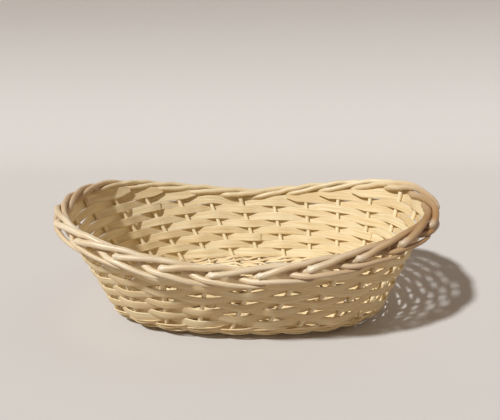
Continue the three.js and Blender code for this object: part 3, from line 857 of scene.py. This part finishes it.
def slanted(stop, tucked, share, cut):
    """A stop on a packing chip's end: its lower edge rises while its upper edge stays under the border."""
    low = (0.5 - cut) * ROW_WIDTH
    high = 0.5 * ROW_WIDTH + TUCK
    return between(stop[0], tucked, share), stop[1], (high - low) / 2, (low + high) / ROW_WIDTH, TILT


for m in range(PACK_ROWS):
    row = WALL_ROWS + m
    for turn, (end, middle) in enumerate((("right", STAKES // 4), ("left", STAKES * 3 // 4))):
        chance = random.Random(80 + 2 * m + turn)
        first, last = [middle + reach for reach in pack_reach(m)]
        stops = []
        for i in range(first, last + 1):
            outward = -WALL_LIE if (i + row) % 2 == 0 else WALL_LIE
            stops.append(at_stake(i, row, outward, chance))
            if i < last:
                stops.append(at_crossing(i, row, 0, chance))
        ends = []
        for stop, beyond in ((stops[0], first - 1), (stops[-1], last + 1)):
            tucked = wall_place(beyond, wall_room(beyond) - ROW_WIDTH / 2)
            ends.append([slanted(stop, tucked, *pack_end) for pack_end in PACK_ENDS])
        stops = ends[0][::-1] + stops + ends[1]
        name = f"{end}_{m + 1}"
        sizes = chip_sizes(80 + 2 * m + turn, ROW_WIDTH, WALL_CHIP_THICKNESS, WALL_CHIP_CAMBER)
        grow(f"packing_chip_{name}", chip_line(f"packing_line_{name}", stops), chip_tree, sizes,
             f"pack_row_{name}")


# Where it stands: a plain pale card that lies flat under the basket and sweeps up behind it, with soft
# light from the upper left, and the view from the front, a little to the right and from above.
CARD_HALF_WIDTH = 3.0
CARD_FRONT = -2.5
CARD_TOP = 2.6
SWEEP_START = 0.55
SWEEP_RADIUS = 0.35
SWEEP_STEPS = 16
sheet = bpy.data.meshes.new("ground")
sweep = [(CARD_FRONT, 0.0)]
for n in range(SWEEP_STEPS + 1):
    angle = n / SWEEP_STEPS * math.pi / 2
    sweep.append((SWEEP_START + SWEEP_RADIUS * math.sin(angle), SWEEP_RADIUS * (1 - math.cos(angle))))
sweep.append((SWEEP_START + SWEEP_RADIUS, CARD_TOP))
corners = [(x, y, z) for y, z in sweep for x in (-CARD_HALF_WIDTH, CARD_HALF_WIDTH)]
sheet.from_pydata(corners, [], [(2 * n, 2 * n + 1, 2 * n + 3, 2 * n + 2) for n in range(len(sweep) - 1)])
for polygon in sheet.polygons:
    polygon.use_smooth = True
ground = bpy.data.objects.new("ground", sheet)
bpy.context.scene.collection.objects.link(ground)


def seen_share(tree):
    """One for what the eye and reflections see, none for the light that is thrown on other things."""
    ray = add(tree, "ShaderNodeLightPath").outputs
    mirrored = add(tree, "ShaderNodeMath", {0: ray["Is Glossy Ray"], 1: ray["Is Transmission Ray"]},
                   operation="MAXIMUM")
    return add(tree, "ShaderNodeMath", {0: ray["Is Camera Ray"], 1: mirrored.outputs[0]},
               operation="MAXIMUM").outputs[0]


# The eye and reflections see a pale card, and the light that it throws back is a little warmer
pale_card = bpy.data.materials.new("pale_card")
pale_card.use_nodes = True
card = pale_card.node_tree
card_tone = add(card, "ShaderNodeMix", {0: seen_share(card), 6: linear("#b8aa9c"), 7: linear("#d2d0cf")},
                data_type="RGBA")
card_shader = card.nodes["Principled BSDF"]
card_shader.inputs["Roughness"].default_value = 0.85
card_shader.inputs["Specular IOR Level"].default_value = 0.2
card.links.new(card_tone.outputs[2], card_shader.inputs["Base Color"])
sheet.materials.append(pale_card)

# A window's light from the left and a weak, wide, warm one from the right: strength, spread in degrees,
# colour, and where it comes from
LIGHTS = {
    "window": (3.1, 4, (1.0, 1.0, 0.98), (-0.45, -0.46, 0.765)),
    "fill": (0.5, 60, (1.0, 0.9, 0.78), (0.6, 0.3, 0.75)),
}
for name, (strength, spread_angle, colour, source) in LIGHTS.items():
    lamp = bpy.data.lights.new(name, "SUN")
    lamp.energy = strength
    lamp.angle = math.radians(spread_angle)
    lamp.color = colour
    hung = bpy.data.objects.new(name, lamp)
    hung.rotation_euler = Vector(source).normalized().to_track_quat("Z", "Y").to_euler()
    bpy.context.scene.collection.objects.link(hung)

# The room gives a weak warm light. The eye and reflections see a pale wall where the card ends.
world = bpy.data.worlds.new("soft room")
world.use_nodes = True
air = world.node_tree
room_light = air.nodes["Background"]
room_light.inputs["Color"].default_value = linear("#f0d4ba")
room_light.inputs["Strength"].default_value = 0.16
pale_wall = add(air, "ShaderNodeBackground", {"Color": linear("#e2ded8"), "Strength": 0.8})
wall_seen = add(air, "ShaderNodeMixShader", {0: seen_share(air), 1: room_light.outputs[0],
                                             2: pale_wall.outputs[0]})
air.links.new(wall_seen.outputs[0], air.nodes["World Output"].inputs["Surface"])
bpy.context.scene.world = world

# View: angles above the level and to the right of the front, and tilt of the frame, in radians
VIEW_ABOVE = 0.325
VIEW_ASIDE = 0.062
VIEW_ROLL = -0.02
VIEW_DISTANCE = 0.5325
VIEW_MIDDLE = Vector((0.0045, 0, 0.103))
lens = bpy.data.cameras.new("view")
lens.sensor_width = 36
lens.lens = 38.2
lens.clip_start = 0.01
right = Vector((math.cos(VIEW_ASIDE), math.sin(VIEW_ASIDE), 0))
level_back = Vector((math.sin(VIEW_ASIDE), -math.cos(VIEW_ASIDE), 0))
back = level_back * math.cos(VIEW_ABOVE) + Vector((0, 0, math.sin(VIEW_ABOVE)))
facing_in = Matrix((right, back.cross(right), back)).transposed().to_4x4()
view = bpy.data.objects.new("view", lens)
stand = Matrix.Translation(VIEW_MIDDLE + back * VIEW_DISTANCE)
view.matrix_world = stand @ facing_in @ Matrix.Rotation(VIEW_ROLL, 4, "Z")
bpy.context.scene.collection.objects.link(view)
bpy.context.scene.camera = view
bpy.context.scene.view_settings.view_transform = "Standard"
